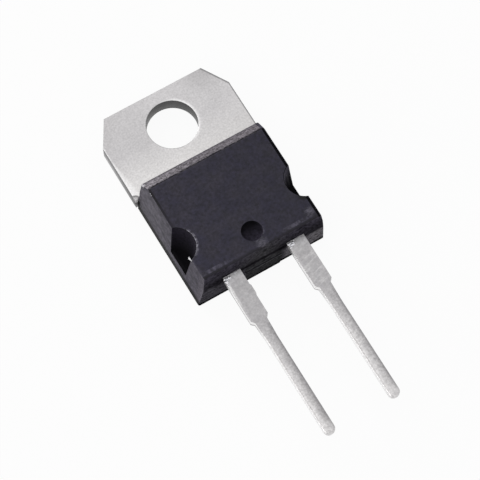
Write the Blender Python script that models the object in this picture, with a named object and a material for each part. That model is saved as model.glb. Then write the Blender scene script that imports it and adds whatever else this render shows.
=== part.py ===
"""A two-lead power diode in a flat-tab moulded package, lying on its back.

X runs across the package, +Y towards the free end of the metal tab and +Z out of the
marked face. Z = 0 is the back of the tab, which is screwed to a heat sink, and the origin
is under the middle of the whole length. Every size is in metres.

The tab, the pad that carries the chip and the cathode lead are one stamping from copper
strip rolled to two thicknesses. The anode lead comes from the same strip, and only the
mould holds it. The chip is soldered to the pad, and two aluminium wires join its top to
the anode lead's post.
"""

import math

import bmesh
import bpy
from mathutils import Vector

# Lengths along the package
TAB_END_TO_HOLE = 0.00283
TAB_END_TO_BODY_END = 0.01551
TAB_LENGTH = 0.00666
LEAD_LENGTH = 0.01313

# Thick part of the stamping: the tab outside the mould and the pad inside it
TAB_THICKNESS = 0.00127
TAB_WIDTH = 0.01036
TAB_CHAMFER_ACROSS = 0.00118
TAB_CHAMFER_ALONG = 0.002
HOLE_DIAMETER = 0.00375
RELIEF_SLOT_WIDTH = 0.0002
RELIEF_SLOT_DEPTH = 0.00035
PAD_COVER = 0.0012
PAD_TO_BODY_END = 0.003
PAD_CHAMFER = 0.0004
GROOVE_FROM_FRONT = 0.0006
GROOVE_WIDTH = 0.0005
GROOVE_DEPTH = 0.00025

# Thin part of the stamping: the leads
LEAD_THICKNESS = 0.0006
LEAD_HEIGHT = 0.0027
LEAD_PITCH = 0.00508
LEAD_WIDE = 0.00136
LEAD_THIN = 0.00082
SHOULDER_TO_BODY = 0.00364
SHOULDER_SLOPE = 0.00022
SHOULDER_FLARE = 0.00005
SHOULDER_FLARE_ALONG = 0.0014
STUB_TO_BODY = 0.0012
STUB_LENGTH = 0.0008
STUB_SLOPE = 0.00014
STUB_OUT = 0.00006
TIP_CHAMFER_ALONG = 0.00028
TIP_CHAMFER_ACROSS = 0.0002
JOGGLE_WIDTH = 0.0014
JOGGLE_FROM_PAD = 0.00025
JOGGLE_RADIUS = 0.0006
JOGGLE_ANGLE = math.radians(55)
JOGGLE_TAPER = 0.0005
POST_WIDTH = 0.0027
POST_LENGTH = 0.0015
POST_TO_BODY_END = 0.0023
EDGE_ROUND = 0.00005

# Moulded body, whose base is a little narrower than the tab on each side
BODY_INSET = 0.00009
SIDE_DRAFT = 0.00049
LEAD_COVER = 0.0012
BEVEL_DROP = 0.0008
BEVEL_RUN = 0.00087
FRONT_DRAFT = 0.00008
END_DRAFT_TOP = 0.00017
END_DRAFT_BASE = 0.0002
CORNER_ROUND = 0.00012
TOP_ROUND = 0.0001
BOSS_WIDTH = 0.0029
BOSS_HEIGHT = 0.0021
BOSS_OUT = 0.00005
NOTCH_TO_BODY_END = 0.00325
NOTCH_TOP_RADIUS = 0.00143
NOTCH_FLOOR_RADIUS = 0.00104
DIMPLE_TO_BODY_END = 0.00163
DIMPLE_DIAMETER = 0.00145
DIMPLE_DEPTH = 0.00012
DIMPLE_TAPER = 0.00006

# Chip, its solder and its wires
DIE_SIZE = 0.0032
DIE_THICKNESS = 0.00025
DIE_TO_BODY_FRONT = 0.0029
SOLDER_THICKNESS = 0.00006
SOLDER_FILLET = 0.00015
WIRE_DIAMETER = 0.00038
WIRE_PITCH = 0.0011
WIRE_FOOT = 0.0008
WIRE_FOOT_SQUASH = 0.6
WIRE_FOOT_SPREAD = 1.35
WIRE_HEEL = 0.00025
WIRE_RISE = 0.00055
WIRE_END_TO_BODY_END = 0.0012

# Gaps between neighbours: the mould grips the metal closely, and stacked pieces all but touch
MOULD_GAP = 0.00002
SEAT_GAP = 0.00001

# Fineness of round shapes
HOLE_SIDES = 96
NOTCH_SIDES = 64
BEND_STEPS = 8
ROUND_STEPS = 3
WIRE_SIDES = 16
WIRE_STEPS = 20
SHARP_ANGLE = math.radians(35)

# Places worked out from the sizes above
LENGTH = TAB_END_TO_BODY_END + LEAD_LENGTH
TAB_END_Y = LENGTH / 2
HOLE_Y = TAB_END_Y - TAB_END_TO_HOLE
BODY_FRONT_Y = TAB_END_Y - TAB_LENGTH
BODY_END_Y = TAB_END_Y - TAB_END_TO_BODY_END
TIP_Y = -LENGTH / 2
PAD_END_Y = BODY_END_Y + PAD_TO_BODY_END
POST_INNER_Y = BODY_END_Y + POST_TO_BODY_END
DIE_Y = BODY_FRONT_Y - DIE_TO_BODY_FRONT
LEAD_TOP = LEAD_HEIGHT + LEAD_THICKNESS
BODY_HEIGHT = LEAD_TOP + LEAD_COVER
BODY_WIDTH = TAB_WIDTH - 2 * BODY_INSET
PAD_WIDTH = BODY_WIDTH - 2 * PAD_COVER
CATHODE_X = -LEAD_PITCH / 2
ANODE_X = LEAD_PITCH / 2
SOLDER_BASE = TAB_THICKNESS + SEAT_GAP
DIE_BASE = SOLDER_BASE + SOLDER_THICKNESS + SEAT_GAP
DIE_TOP = DIE_BASE + DIE_THICKNESS
BEYOND = max(LENGTH, BODY_HEIGHT)


def clear_scene():
    for obj in list(bpy.data.objects):
        bpy.data.objects.remove(obj)


def linear(hex_colour):
    """An sRGB colour written as six hex digits, as the linear values that a shader takes."""
    channels = [int(hex_colour[i:i + 2], 16) / 255 for i in (0, 2, 4)]
    return [c / 12.92 if c <= 0.04045 else ((c + 0.055) / 1.055) ** 2.4 for c in channels] + [1]


def material(name, hex_colour, roughness, metallic):
    made = bpy.data.materials.new(name)
    made.use_nodes = True
    shader = made.node_tree.nodes["Principled BSDF"]
    shader.inputs["Base Color"].default_value = linear(hex_colour)
    shader.inputs["Roughness"].default_value = roughness
    shader.inputs["Metallic"].default_value = metallic
    return made


def solid(name, bm, origin, finish=None):
    """An object from geometry drawn in the package's frame, with its own origin at a place of use."""
    bmesh.ops.recalc_face_normals(bm, faces=bm.faces)
    bmesh.ops.translate(bm, verts=bm.verts, vec=-Vector(origin))
    mesh = bpy.data.meshes.new(name)
    bm.to_mesh(mesh)
    bm.free()
    mesh.shade_smooth()
    mesh.set_sharp_from_angle(angle=SHARP_ANGLE)
    obj = bpy.data.objects.new(name, mesh)
    bpy.context.collection.objects.link(obj)
    obj.location = origin
    obj.parent = PACKAGE
    if finish:
        mesh.materials.append(finish)
    return obj


def cutter(name, bm, origin):
    """A helper that only shapes another object."""
    obj = solid(name, bm, origin)
    obj.hide_render = True
    obj.display_type = "WIRE"
    return obj


def shape_with(obj, helper, operation):
    boolean = obj.modifiers.new(helper.name, "BOOLEAN")
    boolean.operation = operation
    boolean.object = helper


def round_edges(obj):
    """The slight rounding that stamping and plating leave on every edge of the strip."""
    bevel = obj.modifiers.new("edge rounding", "BEVEL")
    bevel.width = EDGE_ROUND
    bevel.segments = 2
    bevel.limit_method = "ANGLE"
    bevel.angle_limit = SHARP_ANGLE


def grown(outline, distance):
    """The closed anticlockwise outline with each of its sides moved outwards by the distance."""
    moved = []
    count = len(outline)
    for i, here in enumerate(outline):
        back = (here - outline[i - 1]).normalized()
        ahead = (outline[(i + 1) % count] - here).normalized()
        out_back, out_ahead = Vector((back.y, -back.x)), Vector((ahead.y, -ahead.x))
        moved.append(here + distance * (out_back + out_ahead) / (1 + out_back.dot(out_ahead)))
    return moved


def prism(outline, place, low, high):
    """The closed outline run from low to high, each point set in space by place(point, along)."""
    bm = bmesh.new()
    face = bm.faces.new([bm.verts.new(place(point, low)) for point in outline])
    run = bmesh.ops.extrude_face_region(bm, geom=[face])
    top = [v for v in run["geom"] if isinstance(v, bmesh.types.BMVert)]
    bmesh.ops.translate(bm, verts=top, vec=place(outline[0], high) - place(outline[0], low))
    return bm


def upright(point, along):
    """Sets a plan outline, drawn in X and Y, at a height."""
    return Vector((point.x, point.y, along))


def crossways(point, along):
    """Sets a side profile, drawn in Y and Z, at a place across the package."""
    return Vector((along, point.x, point.y))


def ring_loft(rings):
    """A closed solid through rings of as many corners each, with a face on each end."""
    bm = bmesh.new()
    loops = [[bm.verts.new(corner) for corner in ring] for ring in rings]
    for lower, upper in zip(loops, loops[1:]):
        for i in range(len(lower)):
            bm.faces.new((lower[i - 1], lower[i], upper[i], upper[i - 1]))
    bm.faces.new(loops[0])
    bm.faces.new(loops[-1])
    return bm


def rectangle(half_across, half_along, centre, height):
    """The four corners of a level rectangle, anticlockwise."""
    signs = ((-1, -1), (1, -1), (1, 1), (-1, 1))
    return [
        Vector((centre[0] + sx * half_across, centre[1] + sy * half_along, height))
        for sx, sy in signs
    ]


def round_plug(centre, low_radius, low, high_radius, high, sides):
    """A straight or tapered round plug, standing on its low end."""
    bm = bmesh.new()
    bmesh.ops.create_cone(
        bm, cap_ends=True, segments=sides, radius1=low_radius, radius2=high_radius, depth=high - low
    )
    bmesh.ops.translate(bm, verts=bm.verts, vec=(centre[0], centre[1], (low + high) / 2))
    return bm


def lead_outline(centre_x, inner, right_stub):
    """Both sides of a lead in plan: down the left side to the tip, and back up the right one.

    inner holds (y, half width) for the stretch inside the mould, from its inner end outwards.
    right_stub holds the same for what the cut dam bar leaves on the right side.
    """
    shoulder_y = BODY_END_Y - SHOULDER_TO_BODY
    thin = LEAD_THIN / 2
    outer = [
        (shoulder_y, LEAD_WIDE / 2),
        (shoulder_y - SHOULDER_SLOPE, thin + SHOULDER_FLARE),
        (shoulder_y - SHOULDER_FLARE_ALONG, thin),
        (TIP_Y + TIP_CHAMFER_ALONG, thin),
        (TIP_Y, thin - TIP_CHAMFER_ACROSS),
    ]
    left = [Vector((centre_x - half, y)) for y, half in inner + outer]
    right = [Vector((centre_x + half, y)) for y, half in reversed(inner + right_stub + outer)]
    return left + right


def dam_bar_stub():
    """The stub on the cathode lead's inner side. The shear cuts the bar flush with the anode lead."""
    start_y = BODY_END_Y - STUB_TO_BODY
    end_y = start_y - STUB_LENGTH
    wide = LEAD_WIDE / 2
    return [
        (start_y, wide),
        (start_y - STUB_SLOPE, wide + STUB_OUT),
        (end_y, wide + STUB_OUT),
        (end_y - STUB_SLOPE, wide),
    ]


def stamping_outline():
    """Plan of the tab, the pad and the cathode lead, anticlockwise from the tab's free end.

    A relief slot is cut in each side of the tab, just before it goes into the mould.
    """
    tab, neck, pad = TAB_WIDTH / 2, TAB_WIDTH / 2 - RELIEF_SLOT_DEPTH, PAD_WIDTH / 2
    shoulder_y = BODY_FRONT_Y + MOULD_GAP
    slot_y = shoulder_y + RELIEF_SLOT_WIDTH
    half = [
        (tab - TAB_CHAMFER_ACROSS, TAB_END_Y),
        (tab, TAB_END_Y - TAB_CHAMFER_ALONG),
        (tab, slot_y),
        (neck, slot_y),
        (neck, shoulder_y),
        (pad, shoulder_y),
        (pad, PAD_END_Y + PAD_CHAMFER),
        (pad - PAD_CHAMFER, PAD_END_Y),
    ]
    left = [Vector((-x, y)) for x, y in half]
    right = [Vector((x, y)) for x, y in reversed(half)]
    taper_y = joggle_line()[-1][0].x + JOGGLE_TAPER
    inner = [
        (PAD_END_Y, JOGGLE_WIDTH / 2),
        (taper_y, JOGGLE_WIDTH / 2),
        (taper_y - JOGGLE_TAPER, LEAD_WIDE / 2),
    ]
    return left + lead_outline(CATHODE_X, inner, dam_bar_stub()) + right


def joggle_line():
    """(place, tilt) along the middle of the cathode strip, from the pad up to the leads' plane."""
    pad_level = Vector((PAD_END_Y, TAB_THICKNESS - LEAD_THICKNESS / 2))
    rise = LEAD_HEIGHT + LEAD_THICKNESS / 2 - pad_level.y
    in_bends = 2 * JOGGLE_RADIUS * (1 - math.cos(JOGGLE_ANGLE))
    ramp = (rise - in_bends) / math.sin(JOGGLE_ANGLE)
    tilts = [JOGGLE_ANGLE * step / BEND_STEPS for step in range(BEND_STEPS + 1)]
    first = pad_level - Vector((JOGGLE_FROM_PAD, 0))
    line = [(pad_level, 0)]
    for tilt in tilts:
        line.append((first + JOGGLE_RADIUS * Vector((-math.sin(tilt), 1 - math.cos(tilt))), tilt))
    top_bend = line[-1][0] + ramp * Vector((-math.cos(JOGGLE_ANGLE), math.sin(JOGGLE_ANGLE)))
    for tilt in reversed(tilts):
        run = math.sin(tilt) - math.sin(JOGGLE_ANGLE)
        lift = math.cos(tilt) - math.cos(JOGGLE_ANGLE)
        line.append((top_bend + JOGGLE_RADIUS * Vector((run, lift)), tilt))
    return line


def strip_profile():
    """Side view of the two-thickness strip: tab and pad, then the thin lead, joggled up."""
    groove_y = BODY_FRONT_Y - GROOVE_FROM_FRONT
    thick = [
        (PAD_END_Y, 0),
        (TAB_END_Y + BEYOND, 0),
        (TAB_END_Y + BEYOND, TAB_THICKNESS),
        (groove_y + GROOVE_WIDTH / 2, TAB_THICKNESS),
        (groove_y, TAB_THICKNESS - GROOVE_DEPTH),
        (groove_y - GROOVE_WIDTH / 2, TAB_THICKNESS),
    ]
    faces = {1: [], -1: []}
    for place, tilt in joggle_line():
        for side in faces:
            up = Vector((math.sin(tilt), math.cos(tilt)))
            faces[side].append(place + side * LEAD_THICKNESS / 2 * up)
    tip = [Vector((TIP_Y - BEYOND, LEAD_TOP)), Vector((TIP_Y - BEYOND, LEAD_HEIGHT))]
    return [Vector(point) for point in thick] + faces[1] + tip + list(reversed(faces[-1]))


def stamped_header(name, grow):
    """The strip's side profile, cut to the stamping's plan. grow makes it larger all round."""
    place = (0, HOLE_Y, 0)
    plan = prism(grown(stamping_outline(), grow), upright, -BEYOND, BEYOND)
    strip = prism(grown(strip_profile(), grow), crossways, -BEYOND, BEYOND)
    plan_cutter = cutter(name + "_plan", plan, place)
    return plan_cutter, strip, place


def header_and_cathode_lead(finish):
    """Tab, pad and cathode lead in one piece, with the screw hole punched through the tab."""
    name = "header_and_cathode_lead"
    plan_cutter, strip, place = stamped_header(name, 0)
    header = solid(name, strip, place, finish)
    shape_with(header, plan_cutter, "INTERSECT")
    radius = HOLE_DIAMETER / 2
    punch = round_plug((0, HOLE_Y), radius, -BEYOND, radius, BEYOND, HOLE_SIDES)
    shape_with(header, cutter("screw_hole_punch", punch, place), "DIFFERENCE")
    round_edges(header)
    return header


def anode_outline():
    post = POST_WIDTH / 2
    post_end_y = POST_INNER_Y - POST_LENGTH
    inner = [(POST_INNER_Y, post), (post_end_y, post), (post_end_y, LEAD_WIDE / 2)]
    return lead_outline(ANODE_X, inner, [])


def anode_lead(finish):
    """The flat anode lead, with its wide bond post inside the mould."""
    flat = prism(anode_outline(), upright, LEAD_HEIGHT, LEAD_TOP)
    lead = solid("anode_lead", flat, (ANODE_X, BODY_END_Y, LEAD_HEIGHT), finish)
    round_edges(lead)
    return lead


def die_block(grow):
    half = DIE_SIZE / 2 + grow
    heights = (DIE_BASE - grow, DIE_TOP + grow)
    return ring_loft([rectangle(half, half, (0, DIE_Y), z) for z in heights])


def solder_block(grow):
    """The solder layer, which spreads a little beyond the chip at its foot."""
    low, high = SOLDER_BASE - grow, SOLDER_BASE + SOLDER_THICKNESS + grow
    foot, head = DIE_SIZE / 2 + SOLDER_FILLET + grow, DIE_SIZE / 2 + grow
    return ring_loft([rectangle(foot, foot, (0, DIE_Y), low), rectangle(head, head, (0, DIE_Y), high)])


def wire_sections(length, start_height, end_height):
    """(run, height, tilt, squash) along a wire: foot, heel, loop, heel and foot.

    squash is 1 on a bonded foot, where the wedge has flattened the wire, and 0 on the loop.
    """
    def foot_lift(squash):
        return SEAT_GAP + WIRE_DIAMETER / 2 * (1 - squash * (1 - WIRE_FOOT_SQUASH))

    pressed = WIRE_FOOT - WIRE_HEEL
    foot = [(0, 1), (pressed, 1), (pressed + WIRE_HEEL / 3, 2 / 3), (pressed + 2 * WIRE_HEEL / 3, 1 / 3)]
    sections = [(run, start_height + foot_lift(squash), 0, squash) for run, squash in foot]
    leave = Vector((WIRE_FOOT, start_height + foot_lift(0)))
    land = Vector((length - WIRE_FOOT, end_height + foot_lift(0)))
    # The loop is one Bezier curve. Both handles are pulled up until its middle reaches the crest.
    crest = end_height + WIRE_RISE
    pull = (crest - (leave.y + land.y) / 8) * 4 / 3
    span = land.x - leave.x
    handles = Vector((leave.x + span / 4, pull)), Vector((land.x - span / 4, pull))
    for step in range(WIRE_STEPS + 1):
        t = step / WIRE_STEPS
        s = 1 - t
        at = s ** 3 * leave + 3 * s * s * t * handles[0] + 3 * s * t * t * handles[1] + t ** 3 * land
        way = s * s * (handles[0] - leave) + 2 * s * t * (handles[1] - handles[0])
        way += t * t * (land - handles[1])
        bent = min(1, 4 * t, 4 * s)
        sections.append((at.x, at.y, bent * math.atan2(way.y, way.x), 0))
    for run, squash in reversed(foot):
        sections.append((length - run, end_height + foot_lift(squash), 0, squash))
    return sections


def bond_wire(start, end, grow):
    """A thick aluminium wire, wedge-bonded at both ends, from the chip's top to the post's top."""
    way = Vector((end[0] - start[0], end[1] - start[1], 0))
    along = way.normalized()
    across = Vector((-along.y, along.x, 0))
    up = Vector((0, 0, 1))
    sections = wire_sections(way.length, DIE_TOP, LEAD_TOP)
    run, height, tilt, squash = sections[0]
    sections[0] = (run - grow, height, tilt, squash)
    run, height, tilt, squash = sections[-1]
    sections[-1] = (run + grow, height, tilt, squash)
    rings = []
    for run, height, tilt, squash in sections:
        half_wide = WIRE_DIAMETER / 2 * (1 + squash * (WIRE_FOOT_SPREAD - 1)) + grow
        half_tall = WIRE_DIAMETER / 2 * (1 - squash * (1 - WIRE_FOOT_SQUASH)) + grow
        centre = Vector((start[0], start[1], height)) + run * along
        head = math.cos(tilt) * up - math.sin(tilt) * along
        turns = [2 * math.pi * i / WIRE_SIDES for i in range(WIRE_SIDES)]
        rings.append([
            centre + half_wide * math.cos(a) * across + half_tall * math.sin(a) * head for a in turns
        ])
    return ring_loft(rings)


def wire_ends(side):
    """Where a wire starts on the chip and ends on the post, for side -1 or 1."""
    shift = side * WIRE_PITCH / 2
    return (shift, DIE_Y), (ANODE_X + shift, BODY_END_Y + WIRE_END_TO_BODY_END)


def body_level(height, front_y, end_y):
    """One level of the moulded body, whose sides lean in evenly from base to top."""
    lean = SIDE_DRAFT * height / BODY_HEIGHT
    half_along = (front_y - end_y) / 2
    return rectangle(BODY_WIDTH / 2 - lean, half_along, (0, (front_y + end_y) / 2), height)


def body_shell():
    """The outside of the mould: leaning sides, a bevel over the tab and a ridge at the leads.

    The ridge is the mould tool's parting line, level with the underside of the leads.
    """
    knuckle = BODY_HEIGHT - BEVEL_DROP
    knuckle_front = BODY_FRONT_Y - FRONT_DRAFT
    above_ridge = (knuckle - LEAD_HEIGHT) / (BODY_HEIGHT - LEAD_HEIGHT)
    bm = ring_loft([
        body_level(0, BODY_FRONT_Y, BODY_END_Y + END_DRAFT_BASE),
        body_level(LEAD_HEIGHT, BODY_FRONT_Y - FRONT_DRAFT * LEAD_HEIGHT / knuckle, BODY_END_Y),
        body_level(knuckle, knuckle_front, BODY_END_Y + END_DRAFT_TOP * above_ridge),
        body_level(BODY_HEIGHT, knuckle_front - BEVEL_RUN, BODY_END_Y + END_DRAFT_TOP),
    ])
    rising = [e for e in bm.edges if not math.isclose(e.verts[0].co.z, e.verts[1].co.z)]
    bmesh.ops.bevel(
        bm, geom=rising, offset=CORNER_ROUND, segments=ROUND_STEPS, profile=0.5, affect="EDGES"
    )
    top = max(bm.faces, key=lambda face: face.calc_center_median().z)
    bmesh.ops.bevel(
        bm, geom=list(top.edges), offset=TOP_ROUND, segments=ROUND_STEPS, profile=0.5, affect="EDGES"
    )
    return bm


def boss_block():
    """The slightly proud pad low on the lead end, between the two leads."""
    back = (BODY_FRONT_Y + BODY_END_Y) / 2
    lean = END_DRAFT_BASE * BOSS_HEIGHT / LEAD_HEIGHT
    foot_y = BODY_END_Y + END_DRAFT_BASE - BOSS_OUT
    outline = [
        Vector((foot_y, 0)),
        Vector((back, 0)),
        Vector((back, BOSS_HEIGHT)),
        Vector((foot_y - lean + BOSS_OUT / 2, BOSS_HEIGHT)),
        Vector((foot_y - lean + BOSS_OUT / 2, BOSS_HEIGHT - BOSS_OUT)),
    ]
    return prism(outline, crossways, -BOSS_WIDTH / 2, BOSS_WIDTH / 2)


def mould_body(finish):
    """The epoxy, cast round everything inside: its hollows are those pieces with a hair's gap."""
    place = (0, (BODY_FRONT_Y + BODY_END_Y) / 2, 0)
    body = solid("mould_body", body_shell(), place, finish)
    shape_with(body, cutter("lead_end_boss", boss_block(), place), "UNION")

    plan_cutter, strip, header_place = stamped_header("header_space", MOULD_GAP)
    header_space = cutter("header_space", strip, header_place)
    shape_with(header_space, plan_cutter, "INTERSECT")
    anode = prism(
        grown(anode_outline(), MOULD_GAP), upright, LEAD_HEIGHT - MOULD_GAP, LEAD_TOP + MOULD_GAP
    )
    spaces = [
        header_space,
        cutter("anode_space", anode, (ANODE_X, BODY_END_Y, LEAD_HEIGHT)),
        cutter("solder_space", solder_block(MOULD_GAP), (0, DIE_Y, SOLDER_BASE)),
        cutter("die_space", die_block(MOULD_GAP), (0, DIE_Y, DIE_BASE)),
    ]
    for side in (-1, 1):
        start, end = wire_ends(side)
        wire = bond_wire(start, end, MOULD_GAP)
        spaces.append(cutter(f"wire_space_{1 if side < 0 else 2}", wire, (*start, DIE_TOP)))

    notch_y = BODY_END_Y + NOTCH_TO_BODY_END
    widening = (NOTCH_TOP_RADIUS - NOTCH_FLOOR_RADIUS) / (BODY_HEIGHT - TAB_THICKNESS)
    above = BODY_HEIGHT + BEVEL_DROP
    wide_radius = NOTCH_FLOOR_RADIUS + widening * (above - TAB_THICKNESS)
    for side, hand in ((-1, "left"), (1, "right")):
        centre = (side * BODY_WIDTH / 2, notch_y)
        pin = round_plug(centre, NOTCH_FLOOR_RADIUS, TAB_THICKNESS, wide_radius, above, NOTCH_SIDES)
        spaces.append(cutter(f"notch_pin_{hand}", pin, (*centre, TAB_THICKNESS)))
    dimple_floor = BODY_HEIGHT - DIMPLE_DEPTH
    dimple_centre = (0, BODY_END_Y + DIMPLE_TO_BODY_END)
    rim, floor = DIMPLE_DIAMETER / 2 + DIMPLE_TAPER, DIMPLE_DIAMETER / 2 - DIMPLE_TAPER
    ejector = round_plug(
        dimple_centre, floor, dimple_floor, rim, BODY_HEIGHT + DIMPLE_DEPTH, NOTCH_SIDES
    )
    spaces.append(cutter("ejector_pin", ejector, (*dimple_centre, dimple_floor)))
    for space in spaces:
        shape_with(body, space, "DIFFERENCE")
    return body


clear_scene()
PACKAGE = bpy.data.objects.new("diode", None)
bpy.context.collection.objects.link(PACKAGE)

plated = material("plated copper strip", "C9C8C8", 0.38, 1)
tinned = material("tinned copper strip", "BDBCBC", 0.42, 1)
mould_body(material("black moulding epoxy", "2B2930", 0.55, 0))
header_and_cathode_lead(plated)
anode_lead(tinned)
solder = material("lead-free solder", "A5A6A8", 0.4, 1)
solid("die_attach_solder", solder_block(0), (0, DIE_Y, SOLDER_BASE), solder)
silicon = material("silicon", "4A4B52", 0.25, 0)
solid("silicon_die", die_block(0), (0, DIE_Y, DIE_BASE), silicon)
for wire_side, wire_number in ((-1, 1), (1, 2)):
    first, last = wire_ends(wire_side)
    aluminium = material(f"aluminium wire {wire_number}", "D4D4D2", 0.3, 1)
    solid(f"bond_wire_{wire_number}", bond_wire(first, last, 0), (*first, DIE_TOP), aluminium)
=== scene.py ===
import math
import random

import bmesh
import bpy
from mathutils import Matrix, Vector


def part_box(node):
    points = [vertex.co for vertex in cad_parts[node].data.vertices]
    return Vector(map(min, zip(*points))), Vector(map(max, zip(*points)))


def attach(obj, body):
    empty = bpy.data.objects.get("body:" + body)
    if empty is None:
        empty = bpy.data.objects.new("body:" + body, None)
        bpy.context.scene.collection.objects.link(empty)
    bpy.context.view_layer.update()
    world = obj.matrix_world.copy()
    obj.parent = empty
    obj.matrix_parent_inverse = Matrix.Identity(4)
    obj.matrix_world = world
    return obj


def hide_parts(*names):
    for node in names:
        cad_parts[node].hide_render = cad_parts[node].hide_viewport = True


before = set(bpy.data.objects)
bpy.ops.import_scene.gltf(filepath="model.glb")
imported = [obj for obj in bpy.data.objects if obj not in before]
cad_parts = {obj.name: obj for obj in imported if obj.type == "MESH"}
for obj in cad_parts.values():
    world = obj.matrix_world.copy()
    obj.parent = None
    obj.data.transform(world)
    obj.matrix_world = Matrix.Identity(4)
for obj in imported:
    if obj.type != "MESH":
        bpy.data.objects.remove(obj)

bpy.context.view_layer.update()

# Tab, chip pad and cathode lead
# The diode's backbone: one stamping from copper strip rolled to two thicknesses. The thick part is the
# tab, with a punched screw hole, and the pad inside the mould. The thin part is the cathode lead.
MM = 0.001
MOULD_FRONT_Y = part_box("mould_body")[1].y
MOULD_END_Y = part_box("mould_body")[0].y
TIP_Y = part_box("anode_lead")[0].y
TAB_SIDE_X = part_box("header_and_cathode_lead")[1].x
TAB_END_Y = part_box("header_and_cathode_lead")[1].y
TAB_TOP_Z = 1.27 * MM
TAB_CHAMFER = (1.18 * MM, 2 * MM)
MOULD_GAP = 0.02 * MM
SLOT_WIDTH = 0.2 * MM
SLOT_DEPTH = 0.35 * MM
SLOT_END_Y = MOULD_FRONT_Y + MOULD_GAP + SLOT_WIDTH
HOLE_Y = 11.49 * MM
HOLE_RADIUS = 1.875 * MM
LEAD_X = 2.54 * MM
LEAD_UNDER_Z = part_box("anode_lead")[0].z
LEAD_TOP_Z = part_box("anode_lead")[1].z
LEAD_SIDE = 0.68 * MM
LEAD_THIN = 0.86 * MM
SHOULDER_Y = MOULD_END_Y - 3.86 * MM
DIP_FROM_SHOULDER = 0.15 * MM
DIP_GROWS_OVER = 1.3 * MM
DIP_ROUND = 0.17 * MM
TIP_ROUND = 0.4 * MM
TIP_SHORT = 0.05 * MM
SAME_POINT = 0.0002 * MM
CLOSE_BY = 0.01 * MM


def linear(hex_colour):
    """An sRGB colour written as six hex digits, as the linear values that a shader takes."""
    channels = [int(hex_colour[i:i + 2], 16) / 255 for i in (0, 2, 4)]
    return [c / 12.92 if c <= 0.04045 else ((c + 0.055) / 1.055) ** 2.4 for c in channels] + [1]


def new_material(name):
    made = bpy.data.materials.new(name)
    made.use_nodes = True
    made.node_tree.nodes.clear()
    return made


def add(material, kind, inputs=None, **settings):
    """Adds a node and returns its outputs. An input is given a value, a hex colour or an output."""
    node = material.node_tree.nodes.new("ShaderNode" + kind)
    for name, value in settings.items():
        setattr(node, name, value)
    for name, value in (inputs or {}).items():
        if isinstance(value, bpy.types.NodeSocket):
            material.node_tree.links.new(value, node.inputs[name])
        else:
            node.inputs[name].default_value = linear(value) if isinstance(value, str) else value
    return node.outputs


def near_spot(material, place, spot, reach):
    """1 at a spot, falling to 0 at reach from it."""
    away = add(material, "VectorMath", {0: place, 1: spot}, operation="DISTANCE")[1]
    return add(material, "MapRange", {0: away, 1: reach, 2: 0})[0]


def joined_copy(node):
    """A copy of a CAD node's mesh, with its loose triangles joined and its flat faces made whole."""
    bm = bmesh.new()
    bm.from_mesh(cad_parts[node].data)
    bmesh.ops.remove_doubles(bm, verts=bm.verts, dist=SAME_POINT)
    bmesh.ops.dissolve_limit(bm, angle_limit=math.radians(0.5), verts=bm.verts, edges=bm.edges)
    return bm


def dip_in_tin(bm, lead_x):
    """Gives a lead's thin end the round section and the round tip that the hot tin dip leaves."""
    stump_y = SHOULDER_Y - DIP_FROM_SHOULDER
    bmesh.ops.bisect_plane(
        bm, geom=bm.verts[:] + bm.edges[:] + bm.faces[:], plane_co=(0, stump_y, 0),
        plane_no=(0, -1, 0), clear_outer=True,
    )
    full_y = stump_y - DIP_GROWS_OVER
    end_y = TIP_Y + TIP_SHORT
    tongue = bmesh.ops.create_cube(bm, size=1)["verts"]
    bmesh.ops.scale(bm, verts=tongue, vec=(LEAD_THIN, full_y - end_y, LEAD_TOP_Z - LEAD_UNDER_Z))
    middle = (lead_x, (full_y + end_y) / 2, (LEAD_TOP_Z + LEAD_UNDER_Z) / 2)
    bmesh.ops.translate(bm, verts=tongue, vec=middle)
    corners = [
        e for e in {e for v in tongue for e in v.link_edges}
        if all(v.co.y < middle[1] for v in e.verts)
        and abs(e.verts[0].co.z - e.verts[1].co.z) > 0.1 * MM
    ]
    near_shoulder = [
        f for f in {f for v in tongue for f in v.link_faces}
        if f.calc_center_median().y > full_y - CLOSE_BY
    ]
    bmesh.ops.delete(bm, geom=near_shoulder, context="FACES_ONLY")
    bmesh.ops.bevel(
        bm, geom=corners, offset=TIP_ROUND, segments=8, profile=0.5, affect="EDGES", material=-1
    )
    flats = [
        f for f in bm.faces
        if f.calc_center_median().y < full_y and abs(f.normal.z) > 0.99
    ]
    outlines = [e for f in flats for e in f.edges if not e.is_boundary]
    bmesh.ops.bevel(
        bm, geom=outlines, offset=DIP_ROUND, segments=4, profile=0.5, affect="EDGES", material=-1
    )
    bmesh.ops.bridge_loops(bm, edges=[e for e in bm.edges if e.is_boundary])
    bmesh.ops.recalc_face_normals(bm, faces=bm.faces)


def finished_piece(name, bm, materials, replaced=()):
    """An object from the mesh, smooth but for its sharp edges, fixed to the diode's one body."""
    mesh = bpy.data.meshes.new(name)
    bm.to_mesh(mesh)
    bm.free()
    mesh.shade_smooth()
    mesh.set_sharp_from_angle(angle=math.radians(50))
    for material in materials:
        mesh.materials.append(material)
    piece = bpy.data.objects.new(name, mesh)
    bpy.context.collection.objects.link(piece)
    weighted = piece.modifiers.new("flat faces stay flat", "WEIGHTED_NORMAL")
    weighted.keep_sharp = True
    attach(piece, "root")
    if replaced:
        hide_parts(*replaced)
    return piece


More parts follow.
